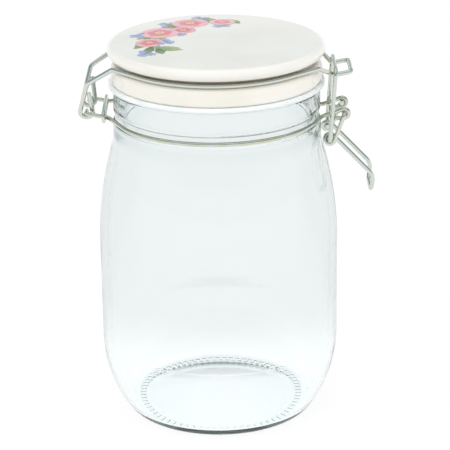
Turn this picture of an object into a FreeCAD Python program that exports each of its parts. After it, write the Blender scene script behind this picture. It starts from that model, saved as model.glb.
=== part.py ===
import FreeCAD, Part
import math
import os
import re
import Sketcher

# Clip-top storage jar of about one litre: a blown glass jar with a ribbed foot, a glazed
# ceramic lid with a soft clear seal, and the sprung wire bail that clamps them together.
# Millimetres, +Z up, origin at the centre of the foot, +X towards the latch, -X towards the hinge.

Vector = FreeCAD.Vector
doc = FreeCAD.newDocument("clip_top_jar")

# ---------------------------------------------------------------- driving dimensions

SIZES = {
    # glass
    "body_radius": 55.0,
    "glass_wall": 3.4,
    "floor_height": 4.2,
    "heel_curve": 60.0,
    "heel_turn": 34.0,
    "heel_corner": 4.6,
    "inner_corner": 3.0,
    "shoulder_drop": 58.1,
    "shoulder_curve": 157.5,
    "shoulder_turn": 15.0,
    "shoulder_inset": 7.8,
    "collar_blend": 18.0,
    "collar_round": 1.0,
    "recess_depth": 0.9,
    "recess_height": 4.7,
    "finish_inset": 0.3,
    "finish_height": 11.1,
    "finish_round": 1.0,
    "lip_height": 156.1,
    "lip_round": 1.5,
    "finish_wall": 4.5,
    "mouth_round": 1.0,
    # foot
    "rib_height": 0.5,
    "ring_inset": 14.6,
    "ring_width": 1.0,
    "rib_length": 3.0,
    "rib_width": 1.3,
    "rib_count": 72,
    "punt_inset": 0.4,
    "punt_rise": 1.6,
    # lid
    "lid_overhang": 2.1,
    "lid_rim": 2.8,
    "lid_dome": 1.4,
    "waist_inset": 4.6,
    "waist_height": 3.0,
    "flange_overhang": 0.7,
    "flange_height": 8.5,
    "flange_upper_round": 3.4,
    "flange_lower_round": 1.4,
    "plug_gap": 2.4,
    "plug_depth": 2.6,
    "plug_round": 1.2,
    # seal
    "seal_overhang": 2.0,
    "seal_thickness": 2.4,
    "seal_gap": 0.1,
    "seal_bore_gap": 0.1,
    # wires
    "neck_wire": 1.95,
    "lid_wire": 2.1,
    "latch_wire": 2.0,
    "clip_wire": 1.75,
    "wire_fit": 0.1,
    "seat_gap": 0.05,
    # hinge
    "hinge_out": 11.2,
    "hinge_up": 5.8,
    "hinge_run": 12.4,
    "hinge_stub": 4.8,
    "hook_plane": 9.6,
    "hook_lean": 20.0,
    "hook_play": 0.8,
    "elbow_out": 1.0,
    "elbow_rise": 15.5,
    "elbow_bend": 4.0,
    "tip_out": 1.2,
    "tip_rise": 10.5,
    "hinge_corner_rise": 2.0,
    "lid_kink": 17.8,
    "clip_out": 3.4,
    # latch
    "pivot_out": 9.9,
    "pivot_up": 3.3,
    "curl_plane": 8.8,
    "bridge_out": 4.5,
    "bridge_up": 1.0,
    "nose_plane": 9.8,
    "saddle_out": 5.0,
    "saddle_down": 5.1,
    "nose_out": 12.5,
    "nose_down": 3.8,
    "eye_out": 3.5,
    "eye_down": 8.2,
    "bend_out": 23.6,
    "bend_down": 26.3,
    "thumb_out": 22.5,
    "thumb_down": 33.6,
    "link_out": 5.8,
    "crown_gap": 0.75,
    # bends of the wires, at their centre line, and how far outside its ring each kink stands
    "tight_bend": 1.5,
    "ring_bend": 2.5,
    "rise_run": 2.0,
    "rise_bend": 12.0,
    "lid_wire_bend": 3.0,
    "nose_bend": 2.0,
    "lever_bend": 6.0,
    "thumb_bend": 4.0,
    "crown_bend": 3.0,
    "neck_kink_hinge": 1.3954,
    "neck_kink_latch": -0.1657,
    "lid_kink_hinge": 0.1514,
    "lid_kink_latch": -0.7212,
    "nose_kink": 20.5,
}

# sizes that follow the ones above: the neck and lid go with the body's radius, every height
# above the wall with the lip, and each bend of a wire with the neck or lid that it stands beside
LINKED = {
    "recess_top": "lip_height - finish_height",
    "collar_top": "recess_top - recess_height",
    "shoulder_start": "collar_top - shoulder_drop",
    "collar_radius": "body_radius - shoulder_inset",
    "finish_radius": "collar_radius - finish_inset",
    "mouth_radius": "finish_radius - finish_wall",
    "recess_radius": "collar_radius - recess_depth",
    "ring_outer": "body_radius - ring_inset",
    "ring_inner": "ring_outer - ring_width",
    "punt_radius": "ring_inner - rib_length - punt_inset",
    "lid_radius": "finish_radius + lid_overhang",
    "waist_radius": "lid_radius - waist_inset",
    "flange_radius": "finish_radius + flange_overhang",
    "plug_radius": "mouth_radius - plug_gap",
    "seal_radius": "finish_radius + seal_overhang",
    "seal_bottom": "lip_height + seal_gap",
    "flange_bottom": "seal_bottom + seal_thickness",
    "flange_top": "flange_bottom + flange_height",
    "rim_bottom": "flange_top + waist_height",
    "rim_top": "rim_bottom + 2 * lid_rim",
    "hinge_x": "-(collar_radius + hinge_out)",
    "hinge_z": "collar_top + hinge_up",
    "clip_x": "-(collar_radius + clip_out)",
    "pivot_x": "collar_radius + pivot_out",
    "pivot_z": "collar_top + pivot_up",
    "bridge_x": "collar_radius + bridge_out",
    "bridge_z": "collar_top + bridge_up",
    "saddle_x": "flange_radius + saddle_out",
    "saddle_z": "flange_top - saddle_down",
    "nose_x": "flange_radius + nose_out",
    "nose_z": "flange_top - nose_down",
    "eye_x": "collar_radius + eye_out",
    "eye_z": "collar_top - eye_down",
    "elbow_lever_x": "collar_radius + bend_out",
    "elbow_lever_z": "collar_top - bend_down",
    "thumb_x": "collar_radius + thumb_out",
    "thumb_z": "collar_top - thumb_down",
    "link_x": "collar_radius + link_out",
}

sheet = doc.addObject("Spreadsheet::Sheet", "Sizes")
for row, (alias, value) in enumerate(SIZES.items(), start=1):
    sheet.set("A%d" % row, alias)
    sheet.set("B%d" % row, str(value))
    sheet.setAlias("B%d" % row, alias)
doc.recompute()

WORD = re.compile(r"[a-z_]+")


def in_full(formula):
    """The formula with every linked size written out in the sheet's own values."""
    while any(word in LINKED for word in WORD.findall(formula)):
        formula = WORD.sub(lambda at: "(%s)" % LINKED[at[0]] if at[0] in LINKED else at[0], formula)
    return formula


def number(formula):
    """What a formula over the sizes comes to, as a plain number."""
    result = sheet.evalExpression(in_full(formula))
    return float(getattr(result, "Value", result))


def bound(formula):
    """The same formula, as another object of the document has to write it."""
    return WORD.sub(lambda at: "Sizes." + at[0] if at[0] in SIZES else at[0], in_full(formula))


# ---------------------------------------------------------------- turned pieces

def origin_plane(body, role):
    """One of a body's own origin planes or axes."""
    for feature in body.Origin.OriginFeatures:
        if feature.Role == role:
            return feature
    raise ValueError(role)


def outline_sketch(body, name, corners, edges):
    """A closed outline on the body's XZ plane.

    corners maps a word to (radius formula, height formula). edges lists (from, to) for a line or
    (from, to, radius formula, side) for an arc, where side is +1 if the arc bulges to the left of
    the way from one corner to the other and -1 if it bulges to the right.
    """
    sketch = body.newObject("Sketcher::SketchObject", name)
    sketch.AttachmentSupport = [(origin_plane(body, "XZ_Plane"), "")]
    sketch.MapMode = "FlatFace"
    at = {word: Vector(number(x), number(z), 0) for word, (x, z) in corners.items()}
    ends = {}
    for number_of_edge, edge in enumerate(edges):
        start, end = at[edge[0]], at[edge[1]]
        if len(edge) == 2:
            sketch.addGeometry(Part.LineSegment(start, end), False)
            ends[number_of_edge] = (1, 2)
            continue
        radius, side = number(edge[2]), edge[3]
        chord = end - start
        left = Vector(-chord.y, chord.x, 0).normalize()
        depth = math.sqrt(max(radius ** 2 - (chord.Length / 2) ** 2, 0.0))
        centre = (start + end) * 0.5 - left * side * depth
        first, last = (start, end) if side < 0 else (end, start)
        angles = [math.atan2(point.y - centre.y, point.x - centre.x) for point in (first, last)]
        circle = Part.Circle(centre, Vector(0, 0, 1), radius)
        index = sketch.addGeometry(Part.ArcOfCircle(circle, angles[0], angles[1]), False)
        ends[number_of_edge] = (1, 2) if side < 0 else (2, 1)
        rule = sketch.addConstraint(Sketcher.Constraint("Radius", index, radius))
        sketch.setExpression("Constraints[%d]" % rule, bound(edge[2]))
    count = len(edges)
    for index, edge in enumerate(edges):
        after = (index + 1) % count
        sketch.addConstraint(
            Sketcher.Constraint("Coincident", index, ends[index][1], after, ends[after][0])
        )
        x_formula, z_formula = corners[edge[0]]
        place = at[edge[0]]
        for kind, formula, value in (("DistanceX", x_formula, place.x), ("DistanceY", z_formula, place.y)):
            if abs(value) < 1e-9:
                axis = -2 if kind == "DistanceX" else -1
                sketch.addConstraint(Sketcher.Constraint("PointOnObject", index, ends[index][0], axis))
                continue
            rule = sketch.addConstraint(Sketcher.Constraint(kind, -1, 1, index, ends[index][0], value))
            sketch.setExpression("Constraints[%d]" % rule, bound(formula))
    return sketch


def turned_body(label, corners, edges):
    """A body turned about Z from one closed outline."""
    body = doc.addObject("PartDesign::Body", label)
    body.Label = label
    sketch = outline_sketch(body, label + "_outline", corners, edges)
    turned = body.newObject("PartDesign::Revolution", label + "_turned")
    turned.Profile = sketch
    turned.ReferenceAxis = (sketch, ["V_Axis"])
    turned.Angle = 360.0
    body.Tip = turned
    doc.recompute()
    return body


# heights and radii that several pieces share, as formulas over the sheet
HEEL_TOP = "(rib_height + (heel_curve - heel_corner) * sin(heel_turn) + heel_corner)"
HEEL_CENTRE = "(body_radius - heel_curve)"
INNER_RADIUS = "(body_radius - glass_wall)"
INNER_CURVE = "(heel_curve - glass_wall)"
INNER_TURN = (
    "asin((" + HEEL_TOP + " - inner_corner - floor_height) / (" + INNER_CURVE + " - inner_corner))"
)
SHOULDER_TOP = "(shoulder_start + shoulder_curve * sin(shoulder_turn))"
SHOULDER_RADIUS = "(body_radius - shoulder_curve * (1 - cos(shoulder_turn)))"
COLLAR_BOTTOM = (
    "(" + SHOULDER_TOP + " + (" + SHOULDER_RADIUS + " - collar_radius) / tan(shoulder_turn))"
)
BLEND = "(collar_blend * tan(shoulder_turn / 2))"
INNER_TOP = "(" + SHOULDER_TOP + " - glass_wall * sin(shoulder_turn))"
INNER_TOP_RADIUS = "(" + SHOULDER_RADIUS + " - glass_wall * cos(shoulder_turn))"
MOUTH_BOTTOM = (
    "(" + INNER_TOP + " + (" + INNER_TOP_RADIUS + " - mouth_radius) / tan(shoulder_turn))"
)
PUNT_CURVE = "((punt_radius ^ 2 + punt_rise ^ 2) / (2 * punt_rise))"


def glass_jar():
    """The glass: foot, heel, straight wall, shoulder, collar, wire recess and finish."""
    corners = {
        "punt_centre": ("0", "rib_height + punt_rise"),
        "punt_edge": ("punt_radius", "rib_height"),
        "ring_inner_top": ("ring_inner", "rib_height"),
        "ring_inner_foot": ("ring_inner", "0"),
        "ring_outer_foot": ("ring_outer", "0"),
        "ring_outer_top": ("ring_outer", "rib_height"),
        "foot_outer": (
            HEEL_CENTRE + " + (heel_curve - heel_corner) * cos(heel_turn)",
            "rib_height",
        ),
        "heel_corner_top": (
            HEEL_CENTRE + " + heel_curve * cos(heel_turn)",
            HEEL_TOP + " - heel_curve * sin(heel_turn)",
        ),
        "heel_top": ("body_radius", HEEL_TOP),
        "wall_top": ("body_radius", "shoulder_start"),
        "shoulder_top": (SHOULDER_RADIUS, SHOULDER_TOP),
        "blend_low": (
            "collar_radius + " + BLEND + " * sin(shoulder_turn)",
            COLLAR_BOTTOM + " - " + BLEND + " * cos(shoulder_turn)",
        ),
        "blend_high": ("collar_radius", COLLAR_BOTTOM + " + " + BLEND),
        "collar_side": ("collar_radius", "collar_top - collar_round"),
        "collar_edge": ("collar_radius - collar_round", "collar_top"),
        "recess_low": ("recess_radius", "collar_top"),
        "recess_high": ("recess_radius", "recess_top"),
        "finish_under": ("finish_radius - finish_round", "recess_top"),
        "finish_low": ("finish_radius", "recess_top + finish_round"),
        "finish_high": ("finish_radius", "lip_height - lip_round"),
        "lip_outer": ("finish_radius - lip_round", "lip_height"),
        "lip_inner": ("mouth_radius + mouth_round", "lip_height"),
        "mouth_high": ("mouth_radius", "lip_height - mouth_round"),
        "mouth_low": ("mouth_radius", MOUTH_BOTTOM),
        "inner_shoulder": (INNER_TOP_RADIUS, INNER_TOP),
        "inner_wall_top": (INNER_RADIUS, "shoulder_start"),
        "inner_wall_low": (INNER_RADIUS, HEEL_TOP),
        "inner_heel": (
            HEEL_CENTRE + " + " + INNER_CURVE + " * cos(" + INNER_TURN + ")",
            HEEL_TOP + " - " + INNER_CURVE + " * sin(" + INNER_TURN + ")",
        ),
        "floor_edge": (
            HEEL_CENTRE + " + (" + INNER_CURVE + " - inner_corner) * cos(" + INNER_TURN + ")",
            "floor_height",
        ),
        "floor_centre": ("0", "floor_height"),
    }
    edges = [
        ("punt_centre", "punt_edge", PUNT_CURVE, 1),
        ("punt_edge", "ring_inner_top"),
        ("ring_inner_top", "ring_inner_foot"),
        ("ring_inner_foot", "ring_outer_foot"),
        ("ring_outer_foot", "ring_outer_top"),
        ("ring_outer_top", "foot_outer"),
        ("foot_outer", "heel_corner_top", "heel_corner", -1),
        ("heel_corner_top", "heel_top", "heel_curve", -1),
        ("heel_top", "wall_top"),
        ("wall_top", "shoulder_top", "shoulder_curve", -1),
        ("shoulder_top", "blend_low"),
        ("blend_low", "blend_high", "collar_blend", 1),
        ("blend_high", "collar_side"),
        ("collar_side", "collar_edge", "collar_round", -1),
        ("collar_edge", "recess_low"),
        ("recess_low", "recess_high"),
        ("recess_high", "finish_under"),
        ("finish_under", "finish_low", "finish_round", -1),
        ("finish_low", "finish_high"),
        ("finish_high", "lip_outer", "lip_round", -1),
        ("lip_outer", "lip_inner"),
        ("lip_inner", "mouth_high", "mouth_round", -1),
        ("mouth_high", "mouth_low"),
        ("mouth_low", "inner_shoulder"),
        ("inner_shoulder", "inner_wall_top", "shoulder_curve - glass_wall", 1),
        ("inner_wall_top", "inner_wall_low"),
        ("inner_wall_low", "inner_heel", INNER_CURVE, 1),
        ("inner_heel", "floor_edge", "inner_corner", 1),
        ("floor_edge", "floor_centre"),
        ("floor_centre", "punt_centre"),
    ]
    body = turned_body("jar_glass", corners, edges)
    foot_ribs(body)
    return body


def foot_ribs(body):
    """Short radial ribs inside the foot's bearing ring, on which the jar stands."""
    sketch = body.newObject("Sketcher::SketchObject", "rib_outline")
    sketch.AttachmentSupport = [(origin_plane(body, "XY_Plane"), "")]
    sketch.MapMode = "FlatFace"
    outer = (number("ring_inner") + number("ring_outer")) / 2
    inner = number("ring_inner") - number("rib_length")
    half = number("rib_width") / 2
    corners = ((inner, -half), (outer, -half), (outer, half), (inner, half))
    loop = [Vector(x, y, 0) for x, y in corners]
    for index in range(4):
        sketch.addGeometry(Part.LineSegment(loop[index], loop[(index + 1) % 4]), False)
    for index in range(4):
        sketch.addConstraint(Sketcher.Constraint("Coincident", index, 2, (index + 1) % 4, 1))
    for index, kind in enumerate(("Horizontal", "Vertical", "Horizontal", "Vertical")):
        sketch.addConstraint(Sketcher.Constraint(kind, index))
    rules = (
        ("DistanceX", -1, 1, 0, 2, outer, "(ring_inner + ring_outer) / 2"),
        ("DistanceX", 0, 1, 0, 2, outer - inner, "(ring_outer - ring_inner) / 2 + rib_length"),
        ("DistanceY", 1, 1, 1, 2, 2 * half, "rib_width"),
        ("DistanceY", -1, 1, 1, 2, half, "rib_width / 2"),
    )
    for kind, one, one_end, other, other_end, value, formula in rules:
        rule = sketch.addConstraint(Sketcher.Constraint(kind, one, one_end, other, other_end, value))
        sketch.setExpression("Constraints[%d]" % rule, bound(formula))
    rib = body.newObject("PartDesign::Pad", "rib")
    rib.Profile = sketch
    rib.setExpression("Length", bound("rib_height"))
    doc.recompute()
    ribs = body.newObject("PartDesign::PolarPattern", "ribs")
    ribs.Originals = [rib]
    ribs.Axis = (origin_plane(body, "Z_Axis"), [""])
    ribs.Angle = 360.0
    ribs.setExpression("Occurrences", bound("rib_count"))
    body.Tip = ribs
    doc.recompute()


DOME_RADIUS = "(((lid_radius - lid_rim) ^ 2 + lid_dome ^ 2) / (2 * lid_dome))"


def ceramic_lid():
    """The lid: plug, flange, waist for the lid wire, and a domed disc with a full-round rim."""
    corners = {
        "plug_centre": ("0", "lip_height - plug_depth"),
        "plug_floor": ("plug_radius - plug_round", "lip_height - plug_depth"),
        "plug_side": ("plug_radius", "lip_height - plug_depth + plug_round"),
        "plug_root": ("plug_radius", "flange_bottom"),
        "flange_under": ("flange_radius - flange_lower_round", "flange_bottom"),
        "flange_low": ("flange_radius", "flange_bottom + flange_lower_round"),
        "flange_high": ("flange_radius", "flange_top - flange_upper_round"),
        "flange_over": ("flange_radius - flange_upper_round", "flange_top"),
        "waist_high": ("waist_radius", "rim_bottom"),
        "rim_under": ("lid_radius - lid_rim", "rim_bottom"),
        "rim": ("lid_radius", "rim_bottom + lid_rim"),
        "rim_over": ("lid_radius - lid_rim", "rim_top"),
        "dome_centre": ("0", "rim_top + lid_dome"),
    }
    edges = [
        ("plug_centre", "plug_floor"),
        ("plug_floor", "plug_side", "plug_round", -1),
        ("plug_side", "plug_root"),
        ("plug_root", "flange_under"),
        ("flange_under", "flange_low", "flange_lower_round", -1),
        ("flange_low", "flange_high"),
        ("flange_high", "flange_over", "flange_upper_round", -1),
        ("flange_over", "waist_high"),
        ("waist_high", "rim_under"),
        ("rim_under", "rim", "lid_rim", -1),
        ("rim", "rim_over", "lid_rim", -1),
        ("rim_over", "dome_centre", DOME_RADIUS, -1),
        ("dome_centre", "plug_centre"),
    ]
    return turned_body("lid_ceramic", corners, edges)


def seal_ring():
    """The soft seal: a flat ring round the plug with a full-round outer edge."""
    half = "seal_thickness / 2"
    corners = {
        "bore_low": ("plug_radius + seal_bore_gap", "seal_bottom"),
        "edge_low": ("seal_radius - " + half, "seal_bottom"),
        "edge": ("seal_radius", "seal_bottom + " + half),
        "edge_high": ("seal_radius - " + half, "flange_bottom"),
        "bore_high": ("plug_radius + seal_bore_gap", "flange_bottom"),
    }
    edges = [
        ("bore_low", "edge_low"),
        ("edge_low", "edge", half, -1),
        ("edge", "edge_high", half, -1),
        ("edge_high", "bore_high"),
        ("bore_high", "bore_low"),
    ]
    return turned_body("seal", corners, edges)


# ---------------------------------------------------------------- bent wires

def bent_path(stations):
    """A wire's centre line as one Part.Wire of straight runs joined by tangent curves.

    A station is ("end", point), ("bend", corner, bend radius), ("arc", start, middle, finish)
    or ("curve", start, finish, edge).
    """
    edges = []
    pen = stations[0][1]
    for index, station in enumerate(stations[1:], start=1):
        kind = station[0]
        if kind == "bend":
            corner, radius = station[1], station[2]
            before = (corner - pen).normalize()
            after = (stations[index + 1][1] - corner).normalize()
            turn = before.getAngle(after)
            reach = radius * math.tan(turn / 2)
            start, finish = corner - before * reach, corner + after * reach
            inward = (after - before).normalize()
            middle = corner + inward * (radius / math.cos(turn / 2) - radius)
            edges.append(Part.LineSegment(pen, start).toShape())
            edges.append(Part.Arc(start, middle, finish).toShape())
            pen = finish
            continue
        if pen.distanceToPoint(station[1]) > 1e-6:
            edges.append(Part.LineSegment(pen, station[1]).toShape())
        pen = station[1]
        if kind == "arc":
            edges.append(Part.Arc(station[1], station[2], station[3]).toShape())
            pen = station[3]
        if kind == "curve":
            edges.append(station[3])
            pen = station[2]
    return Part.Wire(Part.__sortEdges__(edges))


def reversed_station(station):
    """The same station, met from the other end."""
    if station[0] == "arc":
        return ("arc", station[3], station[2], station[1])
    if station[0] == "curve":
        return ("curve", station[2], station[1], station[3])
    return station


def mirrored_point(point):
    """The point on the other side of the XZ plane."""
    return Vector(point.x, -point.y, point.z)


def mirrored_station(station):
    """The station on the other side of the XZ plane."""
    if station[0] == "bend":
        return ("bend", mirrored_point(station[1]), station[2])
    if station[0] == "curve":
        edge = station[3].mirror(Vector(0, 0, 0), Vector(0, 1, 0))
        return ("curve", mirrored_point(station[1]), mirrored_point(station[2]), edge)
    return (station[0],) + tuple(mirrored_point(point) for point in station[1:])


def both_sides(half):
    """A half wire from its end to the XZ plane, carried on through its mirror image."""
    back = [reversed_station(mirrored_station(station)) for station in reversed(half)]
    return half + back


def round_wire(label, stations, diameter_alias):
    """A round wire swept along its centre line."""
    path = doc.addObject("Part::Feature", label + "_path")
    path.Shape = bent_path(stations)
    section = doc.addObject("Part::Circle", label + "_section")
    section.setExpression("Radius", bound(diameter_alias + " / 2"))
    start = path.Shape.OrderedEdges[0]
    first = start.FirstParameter
    heading = start.tangentAt(first)
    at = start.valueAt(first)
    if at.distanceToPoint(stations[0][1]) > 1e-6 and label != "ring_clip":
        at = start.valueAt(start.LastParameter)
        heading = start.tangentAt(start.LastParameter)
    section.Placement = FreeCAD.Placement(at, FreeCAD.Rotation(Vector(0, 0, 1), heading))
    sweep = doc.addObject("Part::Sweep", label)
    sweep.Label = label
    sweep.Sections = [section]
    sweep.Spine = (path, ["Edge%d" % (index + 1) for index in range(len(path.Shape.Edges))])
    sweep.Solid = True
    sweep.Frenet = False
    doc.recompute()
    return sweep


def tangent_angle(centre, outside, radius, side):
    """Where on a circle in the XZ plane the tangent from an outside point touches it, in radians."""
    across, up = outside.x - centre.x, outside.z - centre.z
    return math.atan2(up, across) + side * math.acos(radius / math.hypot(across, up))


def on_circle(centre, radius, angle, plane):
    """A point of a circle in a plane of constant Y."""
    return Vector(centre.x + radius * math.cos(angle), plane, centre.z + radius * math.sin(angle))


def ring_leaving(radius, out, plane, side, height):
    """Where a wire leaves its ring round the neck: (touch point, kink beyond it).

    The kink stands in the plane in which the wire runs on, at radius + out from the jar's axis
    along X, and the wire reaches it along the ring's tangent.
    """
    kink = Vector(side * (radius + out), -plane, height)
    reach = math.hypot(radius + out, plane)
    leave = math.atan2(plane, radius + out) + math.acos(radius / reach)
    touch = Vector(side * radius * math.cos(leave), -radius * math.sin(leave), height)
    return touch, kink


def neck_wire():
    """The wire in the neck recess: hinge stubs at one side, two curled eyes and a bridge at the other."""
    radius = number("neck_wire") / 2
    ring = number("recess_radius") + radius + number("seat_gap")
    height = number("collar_top") + 2 * radius + number("seat_gap")
    run, plane = number("hinge_run"), number("curl_plane")
    hinge = Vector(number("hinge_x"), -run, number("hinge_z"))
    stub = hinge + Vector(0, number("hinge_stub"), 0)
    pivot = Vector(number("pivot_x"), -plane, number("pivot_z"))
    bridge = Vector(number("bridge_x"), -plane, number("bridge_z"))
    eye = number("latch_wire") / 2 + number("wire_fit") + radius
    touch_hinge, corner_hinge = ring_leaving(ring, number("neck_kink_hinge"), run, -1, height)
    touch_latch, corner_latch = ring_leaving(ring, number("neck_kink_latch"), plane, 1, height)
    way = (corner_hinge - touch_hinge).normalize()
    corner_hinge.z += number("hinge_corner_rise")
    rise_start = touch_hinge + way * number("rise_run")
    over = tangent_angle(pivot, corner_latch, eye, -1)
    under = tangent_angle(pivot, bridge, eye, 1)
    over %= 2 * math.pi
    under = under % (2 * math.pi) - 2 * math.pi
    half = [
        ("end", stub),
        ("bend", hinge, number("tight_bend")),
        ("bend", corner_hinge, number("ring_bend")),
        ("bend", rise_start, number("rise_bend")),
        ("arc", touch_hinge, Vector(0, -ring, height), touch_latch),
        ("bend", corner_latch, number("ring_bend")),
        (
            "arc",
            on_circle(pivot, eye, over, -plane),
            on_circle(pivot, eye, (over + under) / 2, -plane),
            on_circle(pivot, eye, under, -plane),
        ),
        ("bend", bridge, number("tight_bend")),
    ]
    return round_wire("neck_wire", both_sides(half), "neck_wire")


def ring_clip():
    """The small flattened ring that draws the neck wire's two hinge runs together."""
    radius = number("clip_wire") / 2
    run_radius = number("neck_wire") / 2
    ring = number("recess_radius") + run_radius + number("seat_gap")
    low = number("collar_top") + 2 * run_radius + number("seat_gap")
    corner = ring_leaving(ring, number("neck_kink_hinge"), number("hinge_run"), -1, low)[1]
    corner.z += number("hinge_corner_rise")
    share = (number("clip_x") - corner.x) / (number("hinge_x") - corner.x)
    middle = corner.z + share * (number("hinge_z") - corner.z)
    rise = run_radius + radius + 4 * number("seat_gap")
    reach = number("hinge_run")
    x = number("clip_x")
    top = [Vector(x, reach, middle + rise), Vector(x, -reach, middle + rise)]
    bottom = [Vector(x, -reach, middle - rise), Vector(x, reach, middle - rise)]
    stations = [
        ("end", Vector(x, 0, middle + rise)),
        ("arc", top[1], Vector(x, -reach - rise, middle), bottom[0]),
        ("arc", bottom[1], Vector(x, reach + rise, middle), top[0]),
        ("end", Vector(x, 0, middle + rise)),
    ]
    return round_wire("ring_clip", stations, "clip_wire")


def lid_wire():
    """The wire in the lid's waist: hooks round the hinge stubs, and a closed nose at the latch."""
    radius = number("lid_wire") / 2
    ring = number("waist_radius") + radius + 3 * number("seat_gap")
    round_over = number("flange_upper_round")
    shelf = number("flange_top") - round_over
    across = ring - (number("flange_radius") - round_over)
    height = shelf + math.sqrt((round_over + radius) ** 2 - across ** 2) + number("seat_gap")
    plane, nose_plane = number("hook_plane"), number("nose_plane")
    hinge = Vector(number("hinge_x"), -plane, number("hinge_z"))
    hook = number("neck_wire") / 2 + number("hook_play") + radius
    elbow = hinge + Vector(number("elbow_out"), 0, number("elbow_rise"))
    tip = hinge + Vector(hook - number("tip_out"), 0, number("tip_rise"))
    inner = tangent_angle(hinge, tip, hook, -1) % (2 * math.pi) - 2 * math.pi
    outer = tangent_angle(hinge, elbow, hook, 1) % (2 * math.pi) - 2 * math.pi
    lean = FreeCAD.Rotation(Vector(1, 0, 0), number("hook_lean"))
    tip, inner_end, low, outer_end, elbow = [
        hinge + lean.multVec(point - hinge)
        for point in (
            tip,
            on_circle(hinge, hook, inner, -plane),
            on_circle(hinge, hook, -math.pi / 2, -plane),
            on_circle(hinge, hook, outer, -plane),
            elbow,
        )
    ]
    kink, nose_kink = number("lid_kink"), number("nose_kink")
    touch_hinge, corner_hinge = ring_leaving(ring, number("lid_kink_hinge"), kink, -1, height)
    touch_latch, corner_latch = ring_leaving(ring, number("lid_kink_latch"), nose_kink, 1, height)
    saddle = Vector(number("saddle_x"), -nose_plane, number("saddle_z"))
    nose = Vector(number("nose_x"), -nose_plane, number("nose_z"))
    half = [
        ("end", tip),
        ("arc", inner_end, low, outer_end),
        ("bend", elbow, number("elbow_bend")),
        ("bend", corner_hinge, number("lid_wire_bend")),
        ("arc", touch_hinge, Vector(0, -ring, height), touch_latch),
        ("bend", corner_latch, number("lid_wire_bend")),
        ("bend", saddle, number("lid_wire_bend")),
        ("bend", nose, number("nose_bend")),
    ]
    return round_wire("lid_wire", both_sides(half), "lid_wire")


def lever_planes():
    """Y of the lever's outer strands and of its arms, one wire further in."""
    wire = number("latch_wire")
    strand = number("curl_plane") + number("neck_wire") / 2 + 2 * number("wire_fit") + wire / 2
    return strand, strand - wire - number("seat_gap")


def coil_edge(centre, radius, start_angle, end_angle, start_plane, end_plane):
    """One turn of the lever's eye: a circle whose Y eases from one plane to the other."""
    steps = 16
    points = []
    for step in range(steps + 1):
        share = step / steps
        ease = share * share * (3 - 2 * share)
        angle = start_angle + share * (end_angle - start_angle)
        points.append(on_circle(centre, radius, angle, start_plane + ease * (end_plane - start_plane)))
    way = 1 if end_angle > start_angle else -1
    tangents = [
        Vector(-math.sin(angle) * way, 0, math.cos(angle) * way) for angle in (start_angle, end_angle)
    ]
    length = radius * abs(end_angle - start_angle)
    knots = [length * step / steps for step in range(steps + 1)]
    curve = Part.BSplineCurve()
    curve.interpolate(
        Points=points, Parameters=knots, InitialTangent=tangents[0], FinalTangent=tangents[1], Scale=False
    )
    return ("curve", points[0], points[-1], curve.toShape())


def lever():
    """The lever: stubs in the neck curls, an eye of one turn each side, and a bent thumb loop."""
    strand, arm = lever_planes()
    pivot = Vector(number("pivot_x"), -strand, number("pivot_z"))
    stub = Vector(pivot.x, -(number("curl_plane") - number("neck_wire")), pivot.z)
    eye = Vector(number("eye_x"), -strand, number("eye_z"))
    radius = number("latch_wire") + number("wire_fit")
    elbow = Vector(number("elbow_lever_x"), -arm, number("elbow_lever_z"))
    thumb = Vector(number("thumb_x"), -arm, number("thumb_z"))
    start_angle = tangent_angle(eye, pivot, radius, -1)
    end_angle = tangent_angle(eye, elbow, radius, 1) - 2 * math.pi
    half = [
        ("end", stub),
        ("bend", pivot, number("tight_bend")),
        coil_edge(eye, radius, start_angle, end_angle, -strand, -arm),
        ("bend", elbow, number("lever_bend")),
        ("bend", thumb, number("thumb_bend")),
    ]
    return round_wire("lever", both_sides(half), "latch_wire")


def link():
    """The link: feet in the lever's eyes, two legs, and a crossbar over the lid wire's saddle."""
    strand = lever_planes()[0]
    wire = number("latch_wire")
    plane = strand + wire / 2 + number("tight_bend")
    foot = Vector(number("eye_x"), -plane, number("eye_z"))
    inner = Vector(foot.x, -(number("curl_plane") - wire / 2), foot.z)
    crown = number("saddle_z") + number("lid_wire") / 2 + wire / 2 + number("crown_gap")
    top = Vector(number("link_x"), -plane, crown)
    half = [("end", inner), ("bend", foot, number("tight_bend")), ("bend", top, number("crown_bend"))]
    return round_wire("link", both_sides(half), "latch_wire")


# ---------------------------------------------------------------- build, check and export

pieces = [
    glass_jar(),
    ceramic_lid(),
    seal_ring(),
    neck_wire(),
    ring_clip(),
    lid_wire(),
    lever(),
    link(),
]
doc.recompute()

for item in doc.Objects:
    if "Invalid" in item.State or "Error" in item.State:
        raise RuntimeError("%s did not build: %s" % (item.Label, item.State))
os.makedirs("parts", exist_ok=True)
for piece in pieces:
    shape = piece.Shape
    if shape.isNull() or not shape.isValid() or len(shape.Solids) != 1:
        raise RuntimeError("%s is not one valid solid" % piece.Label)
    shape.exportStep("parts/%s.step" % piece.Label)
    print("%-12s %10.1f mm3" % (piece.Label, shape.Volume))
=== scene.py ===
"""Looks of a clip-top storage jar: clear glass, a glazed lid with a printed garland, a soft
milky seal and a zinc-plated wire bail, in a plain white studio."""

import math

import bpy
import numpy as np
from mathutils import Matrix, Vector


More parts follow.
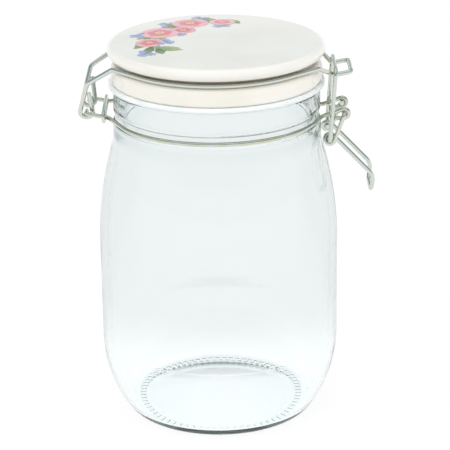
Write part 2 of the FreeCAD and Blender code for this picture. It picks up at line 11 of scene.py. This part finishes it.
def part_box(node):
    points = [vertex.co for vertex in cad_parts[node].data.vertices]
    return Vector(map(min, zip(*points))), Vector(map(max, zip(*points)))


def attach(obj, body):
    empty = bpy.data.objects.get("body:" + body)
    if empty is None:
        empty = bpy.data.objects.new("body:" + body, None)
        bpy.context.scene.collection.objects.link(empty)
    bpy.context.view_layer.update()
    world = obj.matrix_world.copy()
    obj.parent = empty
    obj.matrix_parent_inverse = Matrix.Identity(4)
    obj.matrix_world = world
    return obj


bl_info = {
    "name": "Clip-Top Jar Looks",
    "version": (1, 0, 0),
    "blender": (4, 5, 0),
    "location": "View3D > Sidebar > Jar",
    "description": "Finishes, printed garland and studio for a glass jar with a wire bail",
    "category": "Object",
}

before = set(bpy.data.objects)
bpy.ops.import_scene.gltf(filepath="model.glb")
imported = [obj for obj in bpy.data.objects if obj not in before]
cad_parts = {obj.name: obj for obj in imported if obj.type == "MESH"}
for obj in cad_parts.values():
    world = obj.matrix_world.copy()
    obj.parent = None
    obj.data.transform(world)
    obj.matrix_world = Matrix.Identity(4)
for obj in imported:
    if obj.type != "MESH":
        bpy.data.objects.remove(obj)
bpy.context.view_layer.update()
MM = 0.001
TAU = 2 * math.pi
GLASS_IOR = 1.52
GLAZE_IOR = 1.5
SILICONE_IOR = 1.41
PRINT_ROUGHNESS = 0.18
FLOOR_REACH = 3.0
FLOOR_DROP = 0.1 * MM

LID_LOW, LID_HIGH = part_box("lid_ceramic")
GLASS_LOW, GLASS_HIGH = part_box("jar_glass")


# ------------------------------------------------------------------ shared helpers

def linear(code):
    """An sRGB hex colour, such as "EEEDE6", as linear red, green, blue and alpha."""
    channels = [int(code[at:at + 2], 16) / 255 for at in (0, 2, 4)]
    return tuple(c / 12.92 if c <= 0.04045 else ((c + 0.055) / 1.055) ** 2.4 for c in channels) + (1.0,)


def colour_of(group, name):
    """A colour property as linear red, green, blue and alpha."""
    return tuple(getattr(group, name)) + (1.0,)


def add(tree, kind, settings=None, **links):
    """Adds one node. settings sets its attributes, or its inputs where the key is an input's name
    or place. links joins an input, by name with _ for a space or by i and its place, to a socket."""
    node = tree.nodes.new(kind)
    for key, value in (settings or {}).items():
        if isinstance(key, int) or key in node.inputs:
            node.inputs[key].default_value = value
        else:
            setattr(node, key, value)
    for key, socket in links.items():
        place = int(key[1:]) if key[0] == "i" and key[1:].isdigit() else key.replace("_", " ")
        tree.links.new(socket, node.inputs[place])
    return node


def new_material(name):
    """An empty node material and its tree."""
    material = bpy.data.materials.new(name)
    material.use_nodes = True
    material.node_tree.nodes.clear()
    return material, material.node_tree


def ramp(tree, factor, stops):
    """A colour ramp through (place, hex colour) stops, fed by one socket."""
    node = add(tree, "ShaderNodeValToRGB", Fac=factor)
    points = node.color_ramp.elements
    while len(points) < len(stops):
        points.new(0.5)
    for point, (place, code) in zip(points, stops):
        point.position = place
        point.color = linear(code)
    return node.outputs["Color"]


def dress(node_name, material):
    """Gives a CAD node its material."""
    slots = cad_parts[node_name].data.materials
    slots.clear()
    slots.append(material)


def grid_mesh(name, points, uv, tone, material):
    """One mesh from many equal grids.

    points has the shape (grids, rows, columns, 3) in metres, uv (grids, rows, columns, 2) and tone
    (grids,). Each cell of a grid is one four-sided face whose corners run the way that makes its
    normal point up where rows run along X and columns along Y.
    """
    grids, rows, columns = points.shape[:3]
    corner = np.arange(grids * rows * columns).reshape(grids, rows, columns)
    faces = np.stack(
        (corner[:, :-1, :-1], corner[:, 1:, :-1], corner[:, 1:, 1:], corner[:, :-1, 1:]), axis=-1
    ).reshape(-1, 4)
    mesh = bpy.data.meshes.new(name)
    mesh.from_pydata(points.reshape(-1, 3).tolist(), [], faces.tolist())
    layer = mesh.uv_layers.new(name="surface")
    layer.data.foreach_set("uv", uv.reshape(-1, 2)[faces.ravel()].astype(np.float32).ravel())
    shade = mesh.attributes.new("tone", "FLOAT", "POINT")
    shade.data.foreach_set("value", np.repeat(tone, rows * columns).astype(np.float32))
    mesh.polygons.foreach_set("use_smooth", np.ones(len(faces), bool))
    mesh.materials.append(material)
    mesh.update()
    piece = bpy.data.objects.new(name, mesh)
    bpy.context.scene.collection.objects.link(piece)
    return piece


# ------------------------------------------------------------------ what a user may change

class ClipJarGlass(bpy.types.PropertyGroup):
    """The glass of the jar."""
    tint: bpy.props.FloatVectorProperty(
        name="Tint", description="Colour that thick glass takes", subtype="COLOR",
        size=3, min=0, max=1, default=linear("8DB9B8")[:3])
    depth: bpy.props.FloatProperty(
        name="Tint Density", description="How fast light takes the tint, per metre of glass",
        default=34.0, min=0)
    ripple: bpy.props.FloatProperty(
        name="Ripple", description="Height of the slow ripples of blown glass",
        subtype="DISTANCE", unit="LENGTH", default=0.05 * MM, precision=6)


class ClipJarLid(bpy.types.PropertyGroup):
    """The glazed lid and its print."""
    roughness: bpy.props.FloatProperty(
        name="Glaze Roughness", description="Roughness of the glaze", default=0.16, min=0, max=1)
    dome_rise: bpy.props.FloatProperty(
        name="Dome Rise", description="Height of the lid's dome over its edge",
        subtype="DISTANCE", unit="LENGTH", default=1.4 * MM, precision=5)
    dome_radius: bpy.props.FloatProperty(
        name="Dome Radius", description="Radius at which the dome meets the round rim",
        subtype="DISTANCE", unit="LENGTH", default=46.2 * MM, precision=5)
    print_height: bpy.props.FloatProperty(
        name="Print Height", description="Height of one layer of the fired print",
        subtype="DISTANCE", unit="LENGTH", default=0.03 * MM, precision=6)


class ClipJarSeal(bpy.types.PropertyGroup):
    """The finish of the seal."""
    roughness: bpy.props.FloatProperty(
        name="Silicone Roughness", description="Roughness of the silicone", default=0.42, min=0, max=1)


class ClipJarWire(bpy.types.PropertyGroup):
    """The bail's wires."""
    zinc: bpy.props.FloatVectorProperty(
        name="Zinc", description="Colour of the bright zinc plating", subtype="COLOR",
        size=3, min=0, max=1, default=linear("D3D8D3")[:3])
    roughness: bpy.props.FloatProperty(
        name="Roughness", description="Roughness of the plating", default=0.18, min=0, max=1)


class ClipJarStudio(bpy.types.PropertyGroup):
    """Camera, lamps and the light from all round."""
    camera_place: bpy.props.FloatVectorProperty(
        name="Camera", description="Where the camera stands", subtype="TRANSLATION",
        unit="LENGTH", size=3, default=(0.003, -0.840, 0.4049))
    camera_pitch: bpy.props.FloatProperty(
        name="Pitch", description="How far the camera looks down", subtype="ANGLE",
        default=math.radians(20.7))
    camera_roll: bpy.props.FloatProperty(
        name="Roll", description="How far the camera leans to its left", subtype="ANGLE",
        default=math.radians(-0.75))
    lens: bpy.props.FloatProperty(
        name="Lens", description="Focal length on a 36 mm sensor", default=155.0)
    lamp_power: bpy.props.FloatProperty(
        name="Lamp Power", description="Power of the main lamp", subtype="POWER",
        unit="POWER", default=7.5)
    world_strength: bpy.props.FloatProperty(
        name="World Strength", description="Strength of the light from all round", default=0.72)


GROUPS = {
    "clip_jar_glass": ClipJarGlass,
    "clip_jar_lid": ClipJarLid,
    "clip_jar_seal": ClipJarSeal,
    "clip_jar_wire": ClipJarWire,
    "clip_jar_studio": ClipJarStudio,
}


# ------------------------------------------------------------------ finishes

def soda_lime_glass(look):
    """Soda-lime glass, blown in a mould: clear, with a faint blue-green from iron that shows where
    the wall is seen edge on, and slow ripples where the glass cooled unevenly."""
    material, tree = new_material("soda_lime_glass_blown")
    place = add(tree, "ShaderNodeTexCoord").outputs["Object"]
    # the ripples run round the jar, so the noise is stretched across and squeezed in height
    stretched = add(tree, "ShaderNodeMapping", {"Scale": (1.0, 1.0, 1.6)}, Vector=place)
    ripple = add(
        tree, "ShaderNodeTexNoise", {"Scale": 1 / (26 * MM), "Detail": 1.0, "Roughness": 0.4},
        Vector=stretched.outputs["Vector"])
    bump = add(
        tree, "ShaderNodeBump", {"Strength": 1.0, "Distance": look.ripple},
        Height=ripple.outputs["Fac"])
    surface = add(
        tree, "ShaderNodeBsdfPrincipled",
        {"Base Color": (1, 1, 1, 1), "Roughness": 0.0, "IOR": GLASS_IOR, "Transmission Weight": 1.0},
        Normal=bump.outputs["Normal"])
    depth = add(
        tree, "ShaderNodeVolumeAbsorption", {"Color": colour_of(look, "tint"), "Density": look.depth})
    add(
        tree, "ShaderNodeOutputMaterial",
        Surface=surface.outputs["BSDF"], Volume=depth.outputs["Volume"])
    return material


def white_glaze(look):
    """White stoneware under a thick clear glaze: glossy and slightly warm, with painted brown-grey
    shade in a band round the waist, where the dome overhangs the wire's groove."""
    material, tree = new_material("stoneware_white_glaze")
    place = add(tree, "ShaderNodeTexCoord").outputs["Object"]
    height = add(tree, "ShaderNodeSeparateXYZ", Vector=place).outputs["Z"]
    share = add(
        tree, "ShaderNodeMapRange", {"From Min": LID_LOW.z, "From Max": LID_HIGH.z}, Value=height)
    # painted shade: the ramp turns brown-grey between 0.59 and 0.68 of the lid's height, at the waist
    # under the dome's overhang, for the shade that falls there
    body = ramp(
        tree, share.outputs["Result"],
        ((0.2, "F6F4EC"), (0.52, "F4F2E9"), (0.59, "BDB2A2"), (0.68, "C6BDAF"),
         (0.76, "F1F0EA"), (0.86, "F4F3EE")))
    # a slow drift of tone, a few centimetres across, from the uneven thickness of the glaze
    drift = add(
        tree, "ShaderNodeTexNoise", {"Scale": 1 / (30 * MM), "Detail": 2.0}, Vector=place)
    tone = ramp(tree, drift.outputs["Fac"], ((0.35, "F9F8F5"), (0.65, "FFFFFF")))
    colour = add(
        tree, "ShaderNodeMix", {"data_type": "RGBA", "blend_type": "MULTIPLY", 0: 1.0}, i6=body, i7=tone)
    # orange peel of the glaze, real at about 2 mm
    peel = add(
        tree, "ShaderNodeTexNoise", {"Scale": 1 / (2.2 * MM), "Detail": 1.0}, Vector=place)
    bump = add(
        tree, "ShaderNodeBump", {"Strength": 0.25, "Distance": 0.01 * MM}, Height=peel.outputs["Fac"])
    surface = add(
        tree, "ShaderNodeBsdfPrincipled",
        {"Roughness": look.roughness, "IOR": GLAZE_IOR},
        Base_Color=colour.outputs[2], Normal=bump.outputs["Normal"])
    add(tree, "ShaderNodeOutputMaterial", Surface=surface.outputs["BSDF"])
    return material


def milky_silicone(look):
    """Moulded silicone rubber: soft, milky and translucent, so it takes the light of what is
    behind it and shows its own edge as a pale blue line."""
    material, tree = new_material("silicone_moulded_milky")
    place = add(tree, "ShaderNodeTexCoord").outputs["Object"]
    cloud = add(tree, "ShaderNodeTexNoise", {"Scale": 1 / (9 * MM), "Detail": 2.0}, Vector=place)
    colour = ramp(tree, cloud.outputs["Fac"], ((0.3, "EAF2F3"), (0.7, "F8FBFB")))
    surface = add(
        tree, "ShaderNodeBsdfPrincipled",
        {"Roughness": look.roughness, "IOR": SILICONE_IOR, "Subsurface Weight": 0.6,
         "Subsurface Radius": (1, 1, 1), "Subsurface Scale": 1.5 * MM},
        Base_Color=colour)
    add(tree, "ShaderNodeOutputMaterial", Surface=surface.outputs["BSDF"])
    return material


def bright_zinc(look, name="steel_wire_bright_zinc", warm="D6D8CB"):
    """Drawn steel wire with bright zinc plating: a grey metal with a greenish cast, a fine grain
    and cloudy patches where the passivation varies."""
    material, tree = new_material(name)
    place = add(tree, "ShaderNodeTexCoord").outputs["Object"]
    cloud = add(
        tree, "ShaderNodeTexNoise", {"Scale": 1 / (7 * MM), "Detail": 3.0, "Roughness": 0.6}, Vector=place)
    share = add(
        tree, "ShaderNodeMapRange", {"From Min": 0.35, "From Max": 0.65}, Value=cloud.outputs["Fac"])
    colour = add(
        tree, "ShaderNodeMix", {"data_type": "RGBA", 6: colour_of(look, "zinc"), 7: linear(warm)},
        i0=share.outputs["Result"])
    # grain of the plating, real at some tenths of a millimetre
    grain = add(
        tree, "ShaderNodeTexNoise", {"Scale": 1 / (0.5 * MM), "Detail": 2.0}, Vector=place)
    bump = add(
        tree, "ShaderNodeBump", {"Strength": 0.35, "Distance": 0.02 * MM}, Height=grain.outputs["Fac"])
    surface = add(
        tree, "ShaderNodeBsdfPrincipled", {"Metallic": 1.0, "Roughness": look.roughness},
        Base_Color=colour.outputs[2], Normal=bump.outputs["Normal"])
    add(tree, "ShaderNodeOutputMaterial", Surface=surface.outputs["BSDF"])
    return material


def fired_print(name, deep, pale):
    """Ceramic transfer print under the glaze: each brush stroke is deep in colour where it starts
    and pale where it ends, with the uneven grain of a watercolour wash."""
    material, tree = new_material("fired_print_" + name)
    stroke = add(tree, "ShaderNodeUVMap", {"uv_map": "surface"}).outputs["UV"]
    along = add(tree, "ShaderNodeSeparateXYZ", Vector=stroke).outputs["X"]
    place = add(tree, "ShaderNodeTexCoord").outputs["Object"]
    grain = add(
        tree, "ShaderNodeTexNoise", {"Scale": 1 / (0.9 * MM), "Detail": 3.0}, Vector=place).outputs["Fac"]
    shade = add(tree, "ShaderNodeAttribute", {"attribute_name": "tone"}).outputs["Fac"]
    mixed = add(tree, "ShaderNodeMath", {"operation": "MULTIPLY", 1: 0.55}, i0=along)
    washed = add(
        tree, "ShaderNodeMath", {"operation": "MULTIPLY_ADD", 1: 0.5}, i0=grain, i2=mixed.outputs[0])
    toned = add(
        tree, "ShaderNodeMath", {"operation": "MULTIPLY_ADD", 1: 0.4}, i0=shade, i2=washed.outputs[0])
    colour = ramp(tree, toned.outputs[0], ((0.25, deep), (1.0, pale)))
    surface = add(
        tree, "ShaderNodeBsdfPrincipled", {"Roughness": PRINT_ROUGHNESS, "IOR": GLAZE_IOR},
        Base_Color=colour)
    add(tree, "ShaderNodeOutputMaterial", Surface=surface.outputs["BSDF"])
    return material


# ------------------------------------------------------------------ the printed garland

# each spray of bells: its share of the garland's line, and the side that it leans to
BELL_SPRAYS = (
    (0.06, 1), (0.2, -1), (0.38, -1), (0.5, 1), (0.63, -1), (0.78, 1), (0.95, -1),
)
# each blossom: its share of the line, its radius and its shift inwards, in millimetres
BLOSSOMS = (
    (0.12, 6.2, 1.5), (0.31, 8.6, -1.0), (0.46, 6.0, 5.5), (0.6, 9.2, -0.5), (0.82, 6.6, 1.0),
)
# turns from the garland's heading, in radians: to a spray of bells, and to the lid's middle
SPRAY_LEAN = 1.15
INWARD = 1.57
STEM_STROKES = 26
LEAVES = 34
# how far each stroke stands above the one before, so that no two share a surface
STROKE_RISE = 0.0015 * MM


def on_dome(look, flat, lift):
    """Points of the lid's plane raised onto its dome: the sphere through the dome's top and its
    edge, with R = (radius^2 + rise^2) / (2 rise) and z = top - R + sqrt(R^2 - x^2 - y^2)."""
    ball = (look.dome_radius ** 2 + look.dome_rise ** 2) / (2 * look.dome_rise)
    drop = ball - np.sqrt(ball ** 2 - (flat ** 2).sum(-1))
    return np.concatenate((flat, (LID_HIGH.z - drop + lift)[..., None]), -1)


def blade(rows, columns, fullness, swell):
    """One brush stroke, petal or leaf as a grid over (u, v): x = u and y = (v - 1/2) w, where the
    width is w = sin(pi u^swell)^fullness."""
    u, v = np.meshgrid(np.linspace(0, 1, rows), np.linspace(0, 1, columns), indexing="ij")
    width = np.sin(np.pi * u ** swell).clip(0) ** fullness
    return np.stack((u, (v - 0.5) * width), -1), np.stack((u, v), -1)


def spread(outline, spots):
    """The outline laid at each spot (x, y, heading, length, width), in millimetres and radians."""
    x, y, heading, length, width = np.asarray(spots).T[:, :, None, None]
    along, across = outline[..., 0] * length, outline[..., 1] * width
    cos, sin = np.cos(heading), np.sin(heading)
    return np.stack((x + along * cos - across * sin, y + along * sin + across * cos), -1) * MM


def garland(share):
    """The garland's own line, a crescent round the lid's middle: (x, y, heading) at a share of it,
    with angle = 66 + 152 share degrees and radius = 28.5 + 2.5 sin(3 pi share) millimetres."""
    angle = np.radians(66 + 152 * share)
    radius = 28.5 + 2.5 * np.sin(3 * np.pi * share)
    return radius * np.cos(angle), radius * np.sin(angle), angle + np.pi / 2


def print_piece(look, name, outline, spots, tones, material, layer):
    """One colour of the print: every stroke of it, each a hair above the one before."""
    flat = spread(outline[0], spots)
    lift = (look.print_height * (1 + layer) + STROKE_RISE * np.arange(len(spots)))[:, None, None]
    uv = np.broadcast_to(outline[1], flat.shape)
    piece = grid_mesh(name, on_dome(look, flat, lift), uv, np.asarray(tones, float), material)
    skin = piece.modifiers.new("thickness", "SOLIDIFY")
    skin.thickness = look.print_height * (2 + layer)
    skin.offset = -1.0
    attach(piece, "lid")


def stems_and_leaves(look):
    """The garland's stem in overlapping strokes, twigs to the bells, and leaves on both sides."""
    stem, twig, leaves, tones = [], [], [], []
    for step in range(STEM_STROKES):
        x, y, heading = garland(step / STEM_STROKES)
        stem.append((x, y, heading, 4.2, 0.75))
    for step in range(LEAVES):
        x, y, heading = garland((step + 0.5) / LEAVES)
        side = 1 if step % 2 else -1
        turn = heading + side * (0.65 + 0.35 * math.sin(2.3 * step))
        leaves.append((x, y, turn, 10.0 + 2.0 * math.sin(1.7 * step), 4.2 + 0.6 * math.cos(step)))
        tones.append(0.5 + 0.5 * math.sin(3.1 * step))
    for share, side in BELL_SPRAYS:
        x, y, heading = garland(share)
        twig.append((x, y, heading + side * SPRAY_LEAN, 9.0, 0.55))
    stroke = blade(12, 3, 0.35, 1.0)
    print_piece(look, "print_stems", stroke, stem + twig, [0.4] * (len(stem) + len(twig)),
                fired_print("stem_olive", "5F6B3A", "9AA56B"), 0)
    print_piece(look, "print_leaves", blade(14, 7, 0.9, 0.85), leaves, tones,
                fired_print("leaf_green", "3F6238", "A9BE84"), 1)


def bells(look):
    """Sprays of small bell flowers, each a fan of three pointed petals at the end of a twig."""
    spots, tones = [], []
    for share, side in BELL_SPRAYS:
        x, y, heading = garland(share)
        out = heading + side * SPRAY_LEAN
        # one bell at the twig's end and one on each side of it: its distance and its swing
        for place, swing in ((9.0, 0.0), (6.6, 0.55), (6.0, -0.6)):
            lean = out + swing * 0.4
            base_x, base_y = x + place * math.cos(lean), y + place * math.sin(lean)
            for fan in (-0.5, 0.5, 0.0):
                spots.append((base_x, base_y, out + swing + fan, 3.9, 2.2))
                tones.append(0.5 + 0.5 * fan)
    print_piece(look, "print_bells", blade(9, 7, 0.75, 1.5), spots, tones,
                fired_print("bell_periwinkle", "5D6FB5", "B9C4E6"), 3)


def blossoms(look):
    """Open five-petalled blossoms in two whorls, and their dotted centres."""
    outer, inner, dots, tones = [], [], [], []
    for order, (share, radius, shift) in enumerate(BLOSSOMS):
        x, y, heading = garland(share)
        x, y = x + shift * math.cos(heading + INWARD), y + shift * math.sin(heading + INWARD)
        for petal in range(5):
            turn = heading + petal * TAU / 5 + order
            outer.append((x, y, turn, radius, radius * 1.15))
            inner.append((x, y, turn + TAU / 10, radius * 0.62, radius * 0.6))
            tones.append(0.9 - 0.2 * (order % 3) - 0.1 * (petal % 2))
        for dot in range(7):
            turn = dot * TAU / 7
            dots.append((x, y, turn, radius * 0.27, radius * 0.16))
    petal = blade(11, 9, 0.6, 1.7)
    print_piece(look, "print_blossoms", petal, outer, tones,
                fired_print("blossom_pink", "C9405F", "F3BDC4"), 4)
    print_piece(look, "print_inner_petals", petal, inner, tones,
                fired_print("blossom_red", "AE2443", "E98A96"), 5)
    print_piece(look, "print_centres", blade(7, 5, 0.6, 1.2), dots, [0.5] * len(dots),
                fired_print("centre_salmon", "D98A52", "F7D9A8"), 6)


# ------------------------------------------------------------------ operators

class ClipJarOperator:
    """What the jar's operators share."""
    bl_options = {"REGISTER", "UNDO"}


class JAR_OT_glass(ClipJarOperator, bpy.types.Operator):
    """Gives the jar its clear glass."""
    bl_idname = "clip_jar.glass"
    bl_label = "Jar Glass"

    def execute(self, context):
        dress("jar_glass", soda_lime_glass(context.scene.clip_jar_glass))
        return {"FINISHED"}


class JAR_OT_lid(ClipJarOperator, bpy.types.Operator):
    """Gives the lid its white glaze."""
    bl_idname = "clip_jar.lid"
    bl_label = "Glazed Lid"

    def execute(self, context):
        dress("lid_ceramic", white_glaze(context.scene.clip_jar_lid))
        return {"FINISHED"}


class JAR_OT_print(ClipJarOperator, bpy.types.Operator):
    """Prints the garland of blossoms on the lid."""
    bl_idname = "clip_jar.print"
    bl_label = "Lid Print"

    def execute(self, context):
        look = context.scene.clip_jar_lid
        stems_and_leaves(look)
        bells(look)
        blossoms(look)
        return {"FINISHED"}


class JAR_OT_seal(ClipJarOperator, bpy.types.Operator):
    """Gives the seal its milky silicone."""
    bl_idname = "clip_jar.seal"
    bl_label = "Silicone Seal"

    def execute(self, context):
        dress("seal", milky_silicone(context.scene.clip_jar_seal))
        return {"FINISHED"}


class JAR_OT_wires(ClipJarOperator, bpy.types.Operator):
    """Gives the bail's wires their bright zinc."""
    bl_idname = "clip_jar.wires"
    bl_label = "Bail Wires"

    def execute(self, context):
        look = context.scene.clip_jar_wire
        zinc = bright_zinc(look)
        for node_name in ("lid_wire", "lever", "link", "ring_clip"):
            dress(node_name, zinc)
        dress("neck_wire", bright_zinc(look, "steel_wire_zinc_olive", "CDCDB4"))
        return {"FINISHED"}


class JAR_OT_studio(ClipJarOperator, bpy.types.Operator):
    """Makes the white floor, the lamps, the world and the camera."""
    bl_idname = "clip_jar.studio"
    bl_label = "Studio"

    def execute(self, context):
        look = context.scene.clip_jar_studio
        white_floor()
        white_world(context.scene, look)
        lamp("key", (-0.75, -0.75, 1.15), 1.3, look.lamp_power)
        lamp("fill", (1.1, -0.5, 0.9), 1.2, look.lamp_power * 0.7)
        camera(context.scene, look)
        return {"FINISHED"}


# ------------------------------------------------------------------ studio

def seen_directly(tree):
    """1 for a camera ray, a glossy ray or a ray through glass, and 0 for other rays."""
    path = add(tree, "ShaderNodeLightPath")
    either = add(
        tree, "ShaderNodeMath", {"operation": "MAXIMUM"},
        i0=path.outputs["Is Camera Ray"], i1=path.outputs["Is Glossy Ray"])
    return add(
        tree, "ShaderNodeMath", {"operation": "MAXIMUM"},
        i0=either.outputs[0], i1=path.outputs["Is Transmission Ray"]).outputs[0]


def white_floor():
    """A white floor that glows white where it is seen, and still takes part of the shadow."""
    corners = [(x * FLOOR_REACH, y * FLOOR_REACH, 0) for x, y in ((-1, -1), (1, -1), (1, 1), (-1, 1))]
    mesh = bpy.data.meshes.new("floor")
    mesh.from_pydata(corners, [], [(0, 1, 2, 3)])
    floor = bpy.data.objects.new("floor", mesh)
    bpy.context.scene.collection.objects.link(floor)
    floor.location.z = -FLOOR_DROP
    material, tree = new_material("studio_floor_white")
    # what the jar's glass passes on: a painted pool of light, the floor glowing brightest under the jar
    # and falling off behind it, from near to far, each a distance behind the jar's axis and a brightness
    place = add(tree, "ShaderNodeTexCoord").outputs["Object"]
    behind = add(tree, "ShaderNodeSeparateXYZ", Vector=place).outputs["Y"]
    near, far = (0.02, 1.28), (0.11, 1.0)
    painted_pool = add(
        tree, "ShaderNodeMapRange",
        {"interpolation_type": "SMOOTHSTEP", "From Min": near[0], "From Max": far[0],
         "To Min": near[1], "To Max": far[1]},
        Value=behind)
    through = add(tree, "ShaderNodeLightPath").outputs["Is Transmission Ray"]
    strength = add(
        tree, "ShaderNodeMix", {"data_type": "FLOAT", 2: 1.06}, i0=through, i3=painted_pool.outputs["Result"])
    glow = add(
        tree, "ShaderNodeEmission", {"Color": (1, 1, 1, 1)}, Strength=strength.outputs["Result"])
    matt = add(tree, "ShaderNodeBsdfDiffuse", {"Color": (0.9, 0.9, 0.9, 1)})
    # rays through the glass see the glow alone, so the jar's shadow under it is painted out with painted
    # light
    whole = add(tree, "ShaderNodeMath", {"operation": "MULTIPLY", 1: 0.14}, i0=through)
    share = add(
        tree, "ShaderNodeMath", {"operation": "MULTIPLY_ADD", 1: 0.86},
        i0=seen_directly(tree), i2=whole.outputs[0])
    mixed = add(
        tree, "ShaderNodeMixShader", i0=share.outputs[0], i1=matt.outputs[0], i2=glow.outputs[0])
    add(tree, "ShaderNodeOutputMaterial", Surface=mixed.outputs[0])
    mesh.materials.append(material)


def white_world(scene, look):
    """White behind the jar, an even soft light from all round on everything else, and for what glass
    and metal show of the room, white walls under a blue-grey ceiling."""
    world = bpy.data.worlds.new("studio")
    world.use_nodes = True
    tree = world.node_tree
    tree.nodes.clear()
    way = add(tree, "ShaderNodeTexCoord").outputs["Generated"]
    height = add(tree, "ShaderNodeSeparateXYZ", Vector=way).outputs["Z"]
    room = ramp(tree, height, ((0.12, "FFFFFF"), (0.30, "A9BDC4"), (0.6, "7F99A4"), (0.8, "F4F8F8")))
    camera_ray = add(tree, "ShaderNodeLightPath").outputs["Is Camera Ray"]
    colour = add(tree, "ShaderNodeMix", {"data_type": "RGBA", 7: (1, 1, 1, 1)}, i0=camera_ray, i6=room)
    seen = add(tree, "ShaderNodeBackground", {"Strength": 1.0}, Color=colour.outputs[2])
    light = add(tree, "ShaderNodeBackground", {"Color": (1, 1, 1, 1), "Strength": look.world_strength})
    mixed = add(
        tree, "ShaderNodeMixShader", i0=seen_directly(tree), i1=light.outputs[0], i2=seen.outputs[0])
    add(tree, "ShaderNodeOutputWorld", Surface=mixed.outputs[0])
    scene.world = world


def lamp(name, place, size, power):
    """A square soft lamp that faces the middle of the jar."""
    data = bpy.data.lights.new(name, "AREA")
    data.size = size
    data.energy = power
    lamp_object = bpy.data.objects.new(name, data)
    lamp_object.location = place
    lamp_object.visible_transmission = False
    lamp_object.visible_glossy = False
    aim = Vector((0, 0, (GLASS_LOW.z + GLASS_HIGH.z) / 2)) - Vector(place)
    lamp_object.rotation_euler = aim.to_track_quat("-Z", "Y").to_euler()
    bpy.context.scene.collection.objects.link(lamp_object)


def camera(scene, look):
    """The camera: a long lens that looks a little down."""
    data = bpy.data.cameras.new("camera")
    data.sensor_width = 36.0
    data.lens = look.lens
    data.clip_start = 0.01
    eye = bpy.data.objects.new("camera", data)
    tilt = Matrix.Rotation(math.pi / 2 - look.camera_pitch, 4, "X")
    turn = tilt @ Matrix.Rotation(look.camera_roll, 4, "Z")
    eye.matrix_world = Matrix.Translation(Vector(look.camera_place)) @ turn
    scene.collection.objects.link(eye)
    scene.camera = eye
    scene.view_settings.view_transform = "Standard"


# ------------------------------------------------------------------ panel and registration

class JAR_PT_looks(bpy.types.Panel):
    """Lists the jar's pieces and what can be changed on them."""
    bl_label = "Clip-Top Jar"
    bl_idname = "JAR_PT_looks"
    bl_space_type = "VIEW_3D"
    bl_region_type = "UI"
    bl_category = "Jar"

    def draw(self, context):
        for operator in OPERATORS:
            self.layout.operator(operator.bl_idname)
        for name, group in GROUPS.items():
            box = self.layout.box()
            for key in group.__annotations__:
                box.prop(getattr(context.scene, name), key)


OPERATORS = (JAR_OT_glass, JAR_OT_lid, JAR_OT_print, JAR_OT_seal, JAR_OT_wires, JAR_OT_studio)


def register():
    for group in GROUPS.values():
        bpy.utils.register_class(group)
    for name, group in GROUPS.items():
        setattr(bpy.types.Scene, name, bpy.props.PointerProperty(type=group))
    for kind in OPERATORS + (JAR_PT_looks,):
        bpy.utils.register_class(kind)


def unregister():
    for kind in reversed(OPERATORS + (JAR_PT_looks,)):
        bpy.utils.unregister_class(kind)
    for name, group in GROUPS.items():
        delattr(bpy.types.Scene, name)
        bpy.utils.unregister_class(group)


def main():
    """Builds everything in order."""
    register()
    for operator in OPERATORS:
        area, verb = operator.bl_idname.split(".")
        if getattr(getattr(bpy.ops, area), verb)() != {"FINISHED"}:
            raise RuntimeError(operator.bl_idname + " did not finish")


if __name__ == "__main__":
    main()
